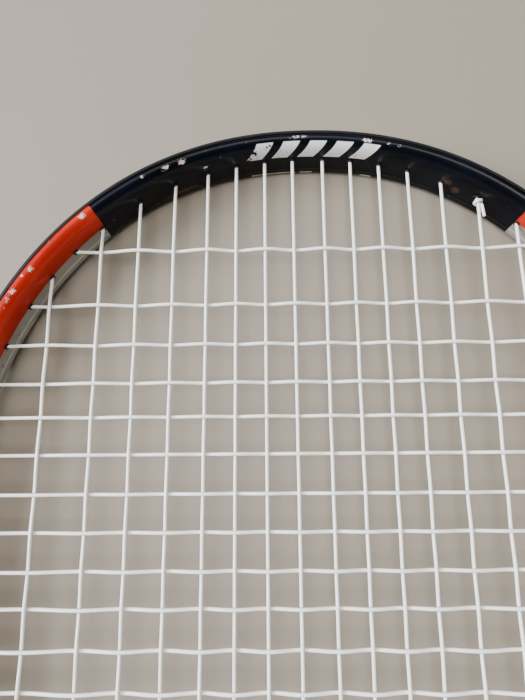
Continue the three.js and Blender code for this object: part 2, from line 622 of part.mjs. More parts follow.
add("throat_spacer", throatSpacer(), FOAM_GREY);
add("handle_pallet_front", pallet(1), PALLET_WHITE);
add("handle_pallet_back", pallet(-1), PALLET_WHITE);
add("pallet_screw_lower", palletScrew(PALLET_SCREW.sites[0]), STEEL);
add("pallet_screw_upper", palletScrew(PALLET_SCREW.sites[1]), STEEL);
add("butt_cap", buttCap(), CAP_BLACK);
add("butt_cap_screw_left", capScrew(-1), STEEL);
add("butt_cap_screw_right", capScrew(1), STEEL);
add("grip_tape", sleeve(GAP, GRIP.thickness, GRIP.from, GRIP.to), GRIP_BLACK);
add(
  "finishing_tape",
  sleeve(GAP, FINISHING_TAPE.thickness, FINISHING_TAPE.from, FINISHING_TAPE.to),
  TAPE_RED,
);
add("rubber_collar", rubberCollar(), RUBBER_BLACK);

export default racket;
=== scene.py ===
"""A strung tennis racket, lying face up on a pale floor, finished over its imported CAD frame."""
import math

import bpy
import numpy as np
from mathutils import Matrix, Vector


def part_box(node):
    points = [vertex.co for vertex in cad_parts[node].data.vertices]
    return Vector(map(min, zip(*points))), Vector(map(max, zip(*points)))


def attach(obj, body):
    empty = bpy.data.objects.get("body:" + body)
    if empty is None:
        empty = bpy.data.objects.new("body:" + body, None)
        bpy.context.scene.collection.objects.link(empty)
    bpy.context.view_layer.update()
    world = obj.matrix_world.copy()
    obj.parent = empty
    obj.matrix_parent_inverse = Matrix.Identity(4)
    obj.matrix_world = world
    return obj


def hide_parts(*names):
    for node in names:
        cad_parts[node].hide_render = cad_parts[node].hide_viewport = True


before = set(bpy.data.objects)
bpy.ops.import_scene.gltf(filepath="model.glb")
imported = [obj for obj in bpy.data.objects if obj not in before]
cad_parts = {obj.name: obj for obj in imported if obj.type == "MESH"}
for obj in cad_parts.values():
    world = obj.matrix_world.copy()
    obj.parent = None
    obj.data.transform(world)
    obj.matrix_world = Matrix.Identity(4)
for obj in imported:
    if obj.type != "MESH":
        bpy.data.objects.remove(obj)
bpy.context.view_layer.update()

# ---- driving dimensions, in millimetres
MM = 0.001
HEAD_HALF_WIDTH = 126.0
HEAD_TOP_DEPTH = 141.7
HEAD_BOTTOM_DEPTH = 185.3
HEAD_TOP_EXPONENT = 2.15
BUMPER_REACH = 8.9  # from the inner wall to the outside of the bumper guard
TIP_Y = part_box("bumper_guard")[1].y / MM - BUMPER_REACH
WIDEST_Y = TIP_Y - HEAD_TOP_DEPTH

MAIN_OFFSETS = [6, 17.1, 28.4, 39.7, 52.6, 66.3, 80.6, 99]  # to either side of the middle
CROSS_DEPTHS = [  # down from the inner wall at the tip
    38.3, 60.2, 75.6, 90, 102.4, 115.7, 129.3, 142.1, 154.7, 166.6, 179.3, 191.9, 205.1, 219.1, 233.6,
    248.6, 263.6, 277.1, 291.6,
]
STRING_RADIUS = 0.65
MAIN_WEAVE, CROSS_WEAVE = 0.3, 1.03  # how far each kind bends over and under the other
STRING_SIDES = 12

SHAFT_HALF_GAP = 4.7
SHAFT_END_Y = 14.0
DEPARTURE = math.radians(48)
THROAT_HEADING = math.radians(66)
THROAT_TOP_BEND = 150.0
THROAT_BOTTOM_BEND = 130.0
BRIDGE_START = math.radians(52.5)
RIVET_ANGLE = math.radians(61.8)
RIVET_HEIGHT = 6.3

GROMMET_INSIDE = 0.8
BEND_INSIDE = 0.3  # where a string leaves its grommet's axis, just inside the mouth
TUBE_CHANNEL = 6.95
BRIDGE_SHIFT = 0.7
LOOP_LIFT = 1.0  # from the floor of the channel to the middle line of a loop
LOOP_STEP = 3.0
LANE = 1.5  # how far a loop lies in front of the string plane, or behind it
BEND_REACH = 1.9  # along the wall, from a grommet to where its loop runs straight
SHARED_OFFSET = 0.72  # from the middle of a shared grommet to each of its two strings
CROSSING_MARGIN = 2.0  # strings don't cross nearer to the wall than this
PLAIN_BARREL, PLAIN_BORE = 1.15, 0.8
TIED_BARREL, TIED_BORE = 1.9, 1.5

WALL_STEP = 1.3  # between the sections of everything that is swept along the hoop
BRIDGE_STEP = 1.0
OVAL_STEPS, SIDE_STEPS = 120, 80
LAST_STEP = 0.3  # the least distance from a section to the end of its stretch

# Half sections, as (outward from the inner wall, up from the string plane).
TUBE_FRONT = [
    (0, 4.6), (0.25, 6.8), (0.8, 8.5), (1.6, 9.8), (2.7, 10.75), (3.9, 11.1), (5.0, 10.7), (5.9, 9.5),
    (6.7, 7.6), (7.2, 5.2), (7.3, 4.4), (6, 3.7),
]
TUBE_BACK = [
    (0, 5.2), (0.15, 8.6), (0.45, 9.9), (1.1, 10.8), (2.6, 11.15), (4.2, 10.9), (5.5, 9.8), (6.5, 8),
    (7.2, 5), (7.3, 4.4), (6, 3.7),
]
# The thin raised line along the back half of the inner wall, as whole points of the section.
RIDGE = [(0.16, -6.5), (-0.12, -6.1), (-0.12, -5.8), (0, -5.4)]
BRIDGE_HALF = [(0, 4.6), (0.6, 8.6), (2.6, 10.4), (5.2, 10.3), (7.4, 8), (8, 4.4), (6.7, 3.7)]
STRIP_HALF = [(6.1, 3.3), (7.5, 3.9), (7.6, 3.3), (TUBE_CHANNEL, 2.9)]
BUMPER_HALF = [
    (6.1, 3.2), (7.35, 4.4), (7.2, 5.4), (6.75, 8.1), (6.05, 9.6), (5.3, 10.6), (4.45, 11.1), (4.7, 11.35),
    (5.5, 11.05), (6.4, 10.1), (7.35, 8.6), (8.25, 7.0), (8.85, 5.6), (8.8, 3.5), (TUBE_CHANNEL, 2.9),
]


# ---- the wall lines of the hoop and the bridge
def oval_below(angle):
    return np.array([HEAD_HALF_WIDTH * np.cos(angle), WIDEST_Y - HEAD_BOTTOM_DEPTH * np.sin(angle)]).T


def oval_above(angle):
    power = 2 / HEAD_TOP_EXPONENT
    cosine = np.clip(np.cos(angle), 0, 1)
    return np.array([HEAD_HALF_WIDTH * cosine**power, WIDEST_Y + HEAD_TOP_DEPTH * np.sin(angle) ** power]).T


def downward_arc(start, first, last, radius, steps=24):
    """From start, heading down and inwards, while the heading turns from one angle to the other."""
    angle = np.linspace(first, last, steps + 1)
    x = start[0] - radius * (np.sin(angle) - math.sin(first))
    return np.array([x, start[1] - radius * (math.cos(first) - np.cos(angle))]).T


def right_half():
    """The inner wall from the end of the right shaft, round the head, to the tip."""
    heading = math.atan2(HEAD_BOTTOM_DEPTH * math.cos(DEPARTURE), HEAD_HALF_WIDTH * math.sin(DEPARTURE))
    top_bend = downward_arc(oval_below(DEPARTURE), heading, THROAT_HEADING, THROAT_TOP_BEND)
    end_x = SHAFT_HALF_GAP + THROAT_BOTTOM_BEND * (1 - math.sin(THROAT_HEADING))
    end_y = top_bend[-1][1] - (top_bend[-1][0] - end_x) * math.tan(THROAT_HEADING)
    bottom_bend = downward_arc((end_x, end_y), THROAT_HEADING, math.pi / 2, THROAT_BOTTOM_BEND)
    down = np.vstack([top_bend, bottom_bend, [[SHAFT_HALF_GAP, SHAFT_END_Y]]])
    lower = oval_below(np.linspace(DEPARTURE, 0, SIDE_STEPS)[1:-1])
    upper = oval_above(np.linspace(0, math.pi / 2, OVAL_STEPS))
    return np.vstack([down[::-1], lower, upper])


class Wall:
    """A flat line with its outside on the right hand, evenly divided."""

    def __init__(self, line, step):
        marks = np.concatenate([[0], np.cumsum(np.linalg.norm(np.diff(line, axis=0), axis=1))])
        count = int(round(marks[-1] / step))
        self.s = np.linspace(0, marks[-1], count + 1)
        self.points = np.array([np.interp(self.s, marks, line[:, k]) for k in (0, 1)]).T
        tangent = np.gradient(self.points, self.s, axis=0)
        self.tangent = tangent / np.linalg.norm(tangent, axis=1)[:, None]
        self.normal = np.array([self.tangent[:, 1], -self.tangent[:, 0]]).T
        self.length = marks[-1]

    def along(self, values, s):
        return np.array([np.interp(s, self.s, values[:, k]) for k in (0, 1)]).T

    def at(self, s, outward=0.0, up=0.0):
        flat = self.along(self.points, s) + outward * self.along(self.normal, s)
        return np.append(flat, up)

    def nearest(self, point, outward=0.0):
        line = self.points + outward * self.normal
        i = int(np.argmin(np.linalg.norm(line - point[:2], axis=1)))
        return self.s[i] + float(np.dot(point[:2] - line[i], self.tangent[i]))


half = right_half()
tube_wall = Wall(np.vstack([half, (half * [-1, 1])[::-1][1:]]), WALL_STEP)
bridge_angles = np.linspace(BRIDGE_START, math.pi - BRIDGE_START, OVAL_STEPS)
bridge_wall = Wall(oval_below(bridge_angles) * [-1, 1], BRIDGE_STEP)
tip_mark = tube_wall.length / 2


# ---- where the strings meet the head
def head_top(x):
    share = 1 - (abs(x) / HEAD_HALF_WIDTH) ** HEAD_TOP_EXPONENT
    return WIDEST_Y + HEAD_TOP_DEPTH * share ** (1 / HEAD_TOP_EXPONENT)


def head_bottom(x):
    return WIDEST_Y - HEAD_BOTTOM_DEPTH * math.sqrt(1 - (x / HEAD_HALF_WIDTH) ** 2)


def head_width(y):
    exponent, depth = (HEAD_TOP_EXPONENT, HEAD_TOP_DEPTH) if y > WIDEST_Y else (2, HEAD_BOTTOM_DEPTH)
    return HEAD_HALF_WIDTH * (1 - (abs(y - WIDEST_Y) / depth) ** exponent) ** (1 / exponent)


class Grommet:
    """A hole through a wall, with its own axis and the way that a string takes out of it."""

    def __init__(self, end, wall=tube_wall, tied=False):
        self.wall = wall
        self.tied = tied
        self.s = wall.nearest(np.array(end))
        self.foot = wall.at(self.s)
        self.normal = np.append(wall.along(wall.normal, self.s), 0)
        self.tangent = np.append(wall.along(wall.tangent, self.s), 0)
        self.rise = max(float(np.dot((self.foot - np.append(end, 0)), self.normal)), 0)
        self.floor = TUBE_CHANNEL + (BRIDGE_SHIFT if wall is bridge_wall else 0)
        self.track = self.floor + LOOP_LIFT
        self.mark = wall.nearest(self.place(self.track), self.track)

    def place(self, outward, along=0.0, up=0.0):
        return self.foot + outward * self.normal + along * self.tangent + np.array([0, 0, up])

    def way_out(self, direction, lane):
        """From the mouth, out through the hole, and round the corner into the channel."""
        in_hole = lane * SHARED_OFFSET if self.tied else 0
        return [
            self.place(-self.rise - BEND_INSIDE, 0, in_hole),
            self.place(self.floor - 0.3, 0, in_hole),
            self.place(self.floor + 0.45, 0.12 * direction, in_hole or 0.12 * lane),
            self.place(self.floor + 0.95, 0.65 * direction, in_hole or 0.5 * lane),
            self.wall.at(self.mark + BEND_REACH * direction, self.track, LANE * lane),
        ]


MAINS_ON_BRIDGE = 5
TIE_OFF_MAIN = 5
TIE_OFF_CROSS = 16
MAIN_LANE, CROSS_LANE = 1, -1

main_xs = [-x for x in reversed(MAIN_OFFSETS)] + MAIN_OFFSETS
main_heads = []
main_throats = []
for x in main_xs:
    order = MAIN_OFFSETS.index(abs(x))
    throat_wall = bridge_wall if order < MAINS_ON_BRIDGE else tube_wall
    main_heads.append(Grommet((x, head_top(x)), tube_wall, order == TIE_OFF_MAIN and x > 0))
    main_throats.append(Grommet((x, head_bottom(x)), throat_wall, order == TIE_OFF_MAIN and x < 0))
cross_ys = [TIP_Y - depth for depth in CROSS_DEPTHS]
cross_ends = {
    side: [Grommet((side * head_width(y), y), tube_wall, k == TIE_OFF_CROSS) for k, y in enumerate(cross_ys)]
    for side in (-1, 1)
}
left_tie = len(MAIN_OFFSETS) - 1 - TIE_OFF_MAIN
right_tie = len(MAIN_OFFSETS) + TIE_OFF_MAIN
all_grommets = main_heads + main_throats + cross_ends[-1] + cross_ends[1]


# ---- meshes
def add_object(name, data):
    made = bpy.data.objects.new(name, data)
    bpy.context.scene.collection.objects.link(made)
    return made


def new_piece(name, verts, faces, body, slot, replaced=(), smooth_angle=38, attributes=None):
    mesh = bpy.data.meshes.new(name)
    mesh.from_pydata((np.asarray(verts) * MM).tolist(), [], faces)
    for key, values in (attributes or {}).items():
        mesh.attributes.new(key, "FLOAT", "POINT").data.foreach_set("value", np.asarray(values, np.float32))
    mesh.shade_smooth()
    mesh.set_sharp_from_angle(angle=math.radians(smooth_angle))
    piece = add_object(name, mesh)
    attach(piece, body)
    if replaced:
        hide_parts(*replaced)
    return piece


def full_turn(steps):
    return np.linspace(0, 2 * math.pi, steps, endpoint=False)


def rings_to_faces(rings, sides, closed_ends=True):
    """Quads between successive rings of one closed section, and a cap on each end."""
    faces = []
    for a in range(0, (rings - 1) * sides, sides):
        for k in range(sides):
            n = (k + 1) % sides
            faces.append((a + k, a + n, a + sides + n, a + sides + k))
    if closed_ends:
        faces.append(tuple(reversed(range(sides))))
        faces.append(tuple(range((rings - 1) * sides, rings * sides)))
    return faces


def closed_skin(rings, sides):
    """Quads round a skin whose last ring joins on to its first, seen from the other side."""
    faces = rings_to_faces(rings + 1, sides, closed_ends=False)
    return [tuple(i % (rings * sides) for i in face[::-1]) for face in faces]


class Build:
    """Collects several closed bodies into one mesh."""

    def __init__(self):
        self.verts = []
        self.faces = []
        self.count = 0

    def add(self, verts, faces):
        self.verts.append(np.asarray(verts, float))
        self.faces += [tuple(i + self.count for i in face) for face in faces]
        self.count += len(verts)

    def piece(self, name, body, slot, replaced, **more):
        return new_piece(name, np.vstack(self.verts), self.faces, body, slot, replaced, **more)


def rounded(outline, radius, steps=3):
    """A closed outline with its corners eased by short curves, each within its half of a side."""
    points = np.asarray(outline, float)
    most = 0.45
    result = []
    for i, corner in enumerate(points):
        before, after = points[i - 1], points[(i + 1) % len(points)]
        reach_in = min(radius, most * np.linalg.norm(before - corner))
        reach_out = min(radius, most * np.linalg.norm(after - corner))
        start = corner + (before - corner) / np.linalg.norm(before - corner) * reach_in
        end = corner + (after - corner) / np.linalg.norm(after - corner) * reach_out
        for t in np.linspace(0, 1, steps + 1):
            result.append((1 - t) ** 2 * start + 2 * t * (1 - t) * corner + t**2 * end)
    return np.array(result)


def mirrored(half_section):
    return list(half_section) + [(u, -v) for u, v in reversed(half_section)]


def swept_wall(wall, section, first=None, last=None):
    """A section (outward, up) carried along a stretch of the wall."""
    first, last = first or 0, last or wall.length
    inside = wall.s[(wall.s > first + LAST_STEP) & (wall.s < last - LAST_STEP)]
    marks = np.concatenate([[first], inside, [last]])
    base = wall.along(wall.points, marks)
    normal = wall.along(wall.normal, marks)
    flat = base[:, None, :] + normal[:, None, :] * section[None, :, 0, None]
    up = np.broadcast_to(section[None, :, 1, None], flat.shape[:2] + (1,))
    verts = np.concatenate([flat, up], axis=2).reshape(-1, 3)
    return verts, rings_to_faces(len(marks), len(section)), marks


def tube_along(points, radius):
    """A round string along a line of points, without twist."""
    points = np.asarray(points, float)
    tangent = np.gradient(points, axis=0)
    tangent /= np.linalg.norm(tangent, axis=1)[:, None]
    askew = [0.31, 0.17, 0.93]
    side = np.cross(tangent[0], askew)
    verts = []
    angle = full_turn(STRING_SIDES)
    for point, direction in zip(points, tangent):
        side = side - np.dot(side, direction) * direction
        side /= np.linalg.norm(side)
        other = np.cross(direction, side)
        verts.append(point + radius * (np.outer(np.cos(angle), side) + np.outer(np.sin(angle), other)))
    return np.vstack(verts), rings_to_faces(len(points), STRING_SIDES)


def eased(points, rounds=2):
    """Cuts a line's corners, and keeps its two ends."""
    points = np.asarray(points, float)
    for _ in range(rounds):
        a, b = points[:-1], points[1:]
        cut = np.empty((2 * len(a), 3))
        cut[0::2] = 0.75 * a + 0.25 * b
        cut[1::2] = 0.25 * a + 0.75 * b
        points = np.vstack([points[:1], cut[1:-1], points[-1:]])
    return points


# ---- routes of the strings
def crossing(i, k, height):
    main_is_over = (i + k) % 2 == 1
    return np.array([main_xs[i], cross_ys[k], height if main_is_over else -height])


def meets(i, k):
    return abs(main_xs[i]) < head_width(cross_ys[k]) - CROSSING_MARGIN


def main_crossings(i):
    return [crossing(i, k, MAIN_WEAVE) for k in range(len(cross_ys)) if meets(i, k)]


def cross_crossings(k):
    return [crossing(i, k, -CROSS_WEAVE) for i in range(len(main_xs)) if meets(i, k)]


def woven(stations, steps=8):
    """A taut string through its crossings: level where it passes over or under, and steepest half-way."""
    result = []
    for a, b in zip(stations[:-1], stations[1:]):
        for t in np.arange(steps) / steps:
            point = a + (b - a) * t
            point[2] = a[2] + (b[2] - a[2]) * t * t * (3 - 2 * t)
            result.append(point)
    return result + [stations[-1]]


def loop(start, end, lane):
    """Out of one grommet, along the channel outside the wall, and back in through another."""
    direction = np.sign(end.mark - start.mark)
    first = start.mark + BEND_REACH * direction
    last = end.mark - BEND_REACH * direction
    count = max(int(abs(last - first) / LOOP_STEP), 1)
    channel = [start.wall.at(s, start.track, LANE * lane) for s in np.linspace(first, last, count + 1)]
    corner_out = start.way_out(direction, lane)
    corner_back = end.way_out(-direction, lane)[::-1]
    return list(eased(corner_out + channel[1:-1] + corner_back))


def string_route(first_loop, runs, loops):
    """A whole string: the loop from its first knot, then each woven run and the loop that follows it."""
    route = list(first_loop)
    for run, following in zip(runs, loops):
        stations = [route.pop()] + run + [following[0]]
        route += woven(stations)
        route += following[1:]
    return route


def main_route():
    runs, loops = [], []
    for i in range(len(main_xs)):
        upward = i % 2 == 0
        run = main_crossings(i)
        ends = main_heads if upward else main_throats
        following = ends[i + 1] if i + 1 < len(main_xs) else cross_ends[1][TIE_OFF_CROSS]
        runs.append(run[::-1] if upward else run)
        loops.append(loop(ends[i], following, MAIN_LANE))
    return string_route(loop(cross_ends[-1][TIE_OFF_CROSS], main_throats[0], MAIN_LANE), runs, loops)


def cross_route():
    runs, loops = [], []
    for k in range(len(cross_ys)):
        side = -1 if k % 2 == 0 else 1
        run = cross_crossings(k)
        following = cross_ends[side][k + 1] if k + 1 < len(cross_ys) else main_throats[left_tie]
        runs.append(run[::-1] if side < 0 else run)
        loops.append(loop(cross_ends[side][k], following, CROSS_LANE))
    return string_route(loop(main_heads[right_tie], cross_ends[1][0], CROSS_LANE), runs, loops)


KNOT_START, KNOT_LENGTH = 0.7, 1.9  # along the host string
KNOT_STEPS = 48
TAIL = [(0.25, 3.2, 0.05), (0.2, 4.6, 0.2), (0.1, 6.2, 0.4), (0.0, 7.6, 0.6)]  # angle on, along, away
PULLED_THIN = 0.94


def knot(name, grommet, host_lane, first_crossing):
    """A short coil round the string that shares the grommet, and the cut tail lying beside it."""
    mouth = grommet.place(-grommet.rise - BEND_INSIDE, 0, host_lane * SHARED_OFFSET)
    direction = (first_crossing - mouth) / np.linalg.norm(first_crossing - mouth)
    across = np.cross([0, 0, 1], direction)
    across /= np.linalg.norm(across)
    above = np.cross(direction, across)
    radius = 2 * STRING_RADIUS

    def spot(turn, reach, away=0.0):
        around = math.cos(turn) * across + math.sin(turn) * above
        return mouth + direction * reach + (radius + away) * around

    line = [grommet.place(-grommet.rise - BEND_INSIDE, 0, -host_lane * SHARED_OFFSET)]
    first_turn = -host_lane * math.pi / 2
    turns = 1.25 if host_lane > 0 else 1.75  # so that the tail leaves beside the host string
    for share in np.linspace(0, 1, KNOT_STEPS + 1):
        line.append(spot(first_turn + share * turns * 2 * math.pi, KNOT_START + KNOT_LENGTH * share))
    last_turn = first_turn + turns * 2 * math.pi
    line += [spot(last_turn + angle, reach, away) for angle, reach, away in TAIL]
    cord = tube_along(eased(line), STRING_RADIUS * PULLED_THIN)
    return new_piece(f"{name}_tied", *cord, "racket", "string_white", (name,))


# ---- materials
class Look:
    """A node material with short names for the nodes it uses."""

    def __init__(self, name, **sockets):
        self.material = bpy.data.materials.new(name)
        self.material.use_nodes = True
        self.tree = self.material.node_tree
        self.shader = next(n for n in self.tree.nodes if n.type == "BSDF_PRINCIPLED")
        for key, value in sockets.items():
            self.shader.inputs[key.replace("_", " ")].default_value = value

    def node(self, kind, inputs=(), output=0, **settings):
        made = self.tree.nodes.new(f"ShaderNode{kind}")
        for key, value in settings.items():
            setattr(made, key, value)
        pairs = inputs.items() if isinstance(inputs, dict) else enumerate(inputs)
        for key, value in pairs:
            if isinstance(value, bpy.types.NodeSocket):
                self.tree.links.new(value, made.inputs[key])
            elif value is not None:
                made.inputs[key].default_value = value
        return made.outputs[output]

    def math(self, operation, *values):
        return self.node("Math", values, operation=operation)

    def times(self, *values):
        return self.math("MULTIPLY", *values)

    def plus(self, *values):
        return self.math("ADD", *values)

    def minus(self, *values):
        return self.math("SUBTRACT", *values)

    def over(self, *values):
        return self.math("DIVIDE", *values)

    def attribute(self, name):
        return self.node("Attribute", output="Fac", attribute_name=name)

    def place(self):
        return self.node("TexCoord", output="Object")

    def noise(self, scale, detail=4.0, roughness=0.55, vector=None):
        inputs = {"Vector": vector or self.place(), "Scale": scale, "Detail": detail, "Roughness": roughness}
        return self.node("TexNoise", inputs, output="Fac")

    def strayed(self, vector, scale, reach):
        """The vector moved about by noise, up to half the reach each way."""
        inputs = {"Vector": self.place(), "Scale": scale, "Detail": 5.0, "Roughness": 0.8}
        noise = self.node("TexNoise", inputs, output="Color")
        stray = self.vector_math("SUBTRACT", noise, (0.5, 0.5, 0.5))
        return self.vector_math("ADD", vector, self.vector_math("MULTIPLY", stray, (reach, reach, reach)))

    def nearest_patch(self, place, patches):
        """How far a place lies from the nearest of the ellipsoids, where 1 is on the surface of one."""
        nearest = 9.0  # farther than any place that matters
        for along, outward, up, length, width in patches:
            offset = self.vector_math("SUBTRACT", place, (along * MM, outward * MM, up * MM))
            share = self.vector_math("DIVIDE", offset, (length * MM, width * MM, width * MM))
            reach = self.node("VectorMath", {0: share}, 1, operation="LENGTH")
            nearest = self.math("MINIMUM", nearest, reach)
        return nearest

    def scaled(self, x, y, z):
        return self.node("Mapping", {"Vector": self.place(), "Scale": (x, y, z)})

    def above(self, value, threshold, softness=0.0):
        """0 below the threshold and 1 above it, over a soft step."""
        return self.spread(value, threshold - softness, threshold + softness + 1e-6, 0, 1)

    def spread(self, value, low, high, to_low, to_high):
        inputs = {"Value": value, "From Min": low, "From Max": high, "To Min": to_low, "To Max": to_high}
        return self.node("MapRange", inputs)

    def below(self, value, threshold, softness=0.0):
        return self.minus(1.0, self.above(value, threshold, softness))

    def between(self, value, low, high, softness=0.0):
        return self.times(self.above(value, low, softness), self.below(value, high, softness))

    def vector_math(self, operation, *values):
        return self.node("VectorMath", values, operation=operation)

    def mix(self, share, a, b):
        made = self.tree.nodes.new("ShaderNodeMix")
        made.data_type = "RGBA"
        for socket, value in zip((made.inputs[0], made.inputs[6], made.inputs[7]), (share, a, b)):
            if isinstance(value, bpy.types.NodeSocket):
                self.tree.links.new(value, socket)
            else:
                socket.default_value = value
        return made.outputs[2]

    def bump(self, height, strength, distance, under=None):
        inputs = {"Strength": strength, "Distance": distance, "Height": height, "Normal": under}
        return self.node("Bump", inputs)

    def finish(self, **sockets):
        for key, value in sockets.items():
            self.tree.links.new(value, self.shader.inputs[key.replace("_", " ")])
        return self

    def on(self, *pieces):
        for piece in pieces:
            piece.data.materials.clear()
            piece.data.materials.append(self.material)


def colour(red, green, blue):
    return (red, green, blue, 1.0)


# Where the paint changes. Along the wall, the middle of the tip is 0 and left is positive.
BLACK_END_X, THROAT_BLACK_X = 80.0, 88.0
black_end = abs(tube_wall.nearest(np.array([BLACK_END_X, head_top(BLACK_END_X)])) - tip_mark) * MM
throat_black = abs(tube_wall.nearest(np.array([THROAT_BLACK_X, head_bottom(THROAT_BLACK_X)])) - tip_mark) * MM

# The bars on the tip, in metres, and where one starts and ends as shares of its pitch.
DECAL_SPAN = (-0.0265, 0.0245)
DECAL_PITCH = 0.0102
DECAL_BAR = (0.14, 0.76)
DECAL_SLANT = 0.62
DECAL_MIDDLE_HEIGHT = 0.0065
DECAL_LOW_HEIGHT, DECAL_FAR_OUTWARD = 0.0024, 0.0019

# Chips, in millimetres: along the wall, outward, up, half length, half width.
CHIPS = [
    (64.5, 2.6, 11.1, 0.8, 0.6), (55.5, 2.0, 10.7, 1.6, 0.75), (49.0, 1.9, 10.6, 1.4, 0.85),
    (40.5, 0.0, 5.0, 0.9, 0.6), (3.8, 3.0, 11.1, 3.4, 0.45), (-22.0, 2.6, 11.0, 2.1, 0.6),
    (-30.0, 2.6, 11.1, 0.5, 0.4), (-34.0, 2.4, 11.0, 0.7, 0.4), (91.0, 2.7, 11.1, 1.5, 1.1),
    (117.5, 2.3, 11.0, 1.4, 1.0), (121.0, 3.2, 11.1, 0.6, 0.5), (127.5, 2.6, 11.1, 1.5, 1.0),
    (131.0, 2.4, 11.1, 1.2, 0.7), (134.5, 2.0, 10.9, 0.7, 0.5), (158.0, 2.8, 11.1, 1.3, 0.9),
    (171.0, 2.2, 11.0, 0.8, 0.7), (214.0, 2.7, 11.1, 1.6, 0.9), (-112.0, 2.6, 11.1, 1.2, 0.8),
    (-151.0, 2.3, 11.0, 1.0, 0.7), (-206.0, 2.8, 11.1, 1.5, 0.9), (-140.0, 1.2, -10.2, 3.2, 0.7),
    (232.0, 1.2, -10.2, 4.0, 0.7),
]
# Brown scuffs on the inner wall, in the same way.
SCUFFS = [(-56.0, 0.0, 1.5, 2.1, 1.7), (-60.5, 0.0, -1.5, 1.7, 2.0), (52.0, 0.1, -6.0, 7.0, 1.5)]
TEAR = 0.0048  # the outlines of chips and scuffs stray by up to half of this

# Stretches along the wall, in metres, where the back inner edge is rubbed down to the cream primer.
RUBBED_EDGES = ((0.0045, 0.0225), (-0.0025, 0.0025), (-0.027, -0.0225), (0.131, 0.139), (-0.148, -0.135))
RUBBED_HEIGHTS = (-0.0112, -0.0089)
RIDGE_HEIGHTS = (-0.0068, -0.0052)


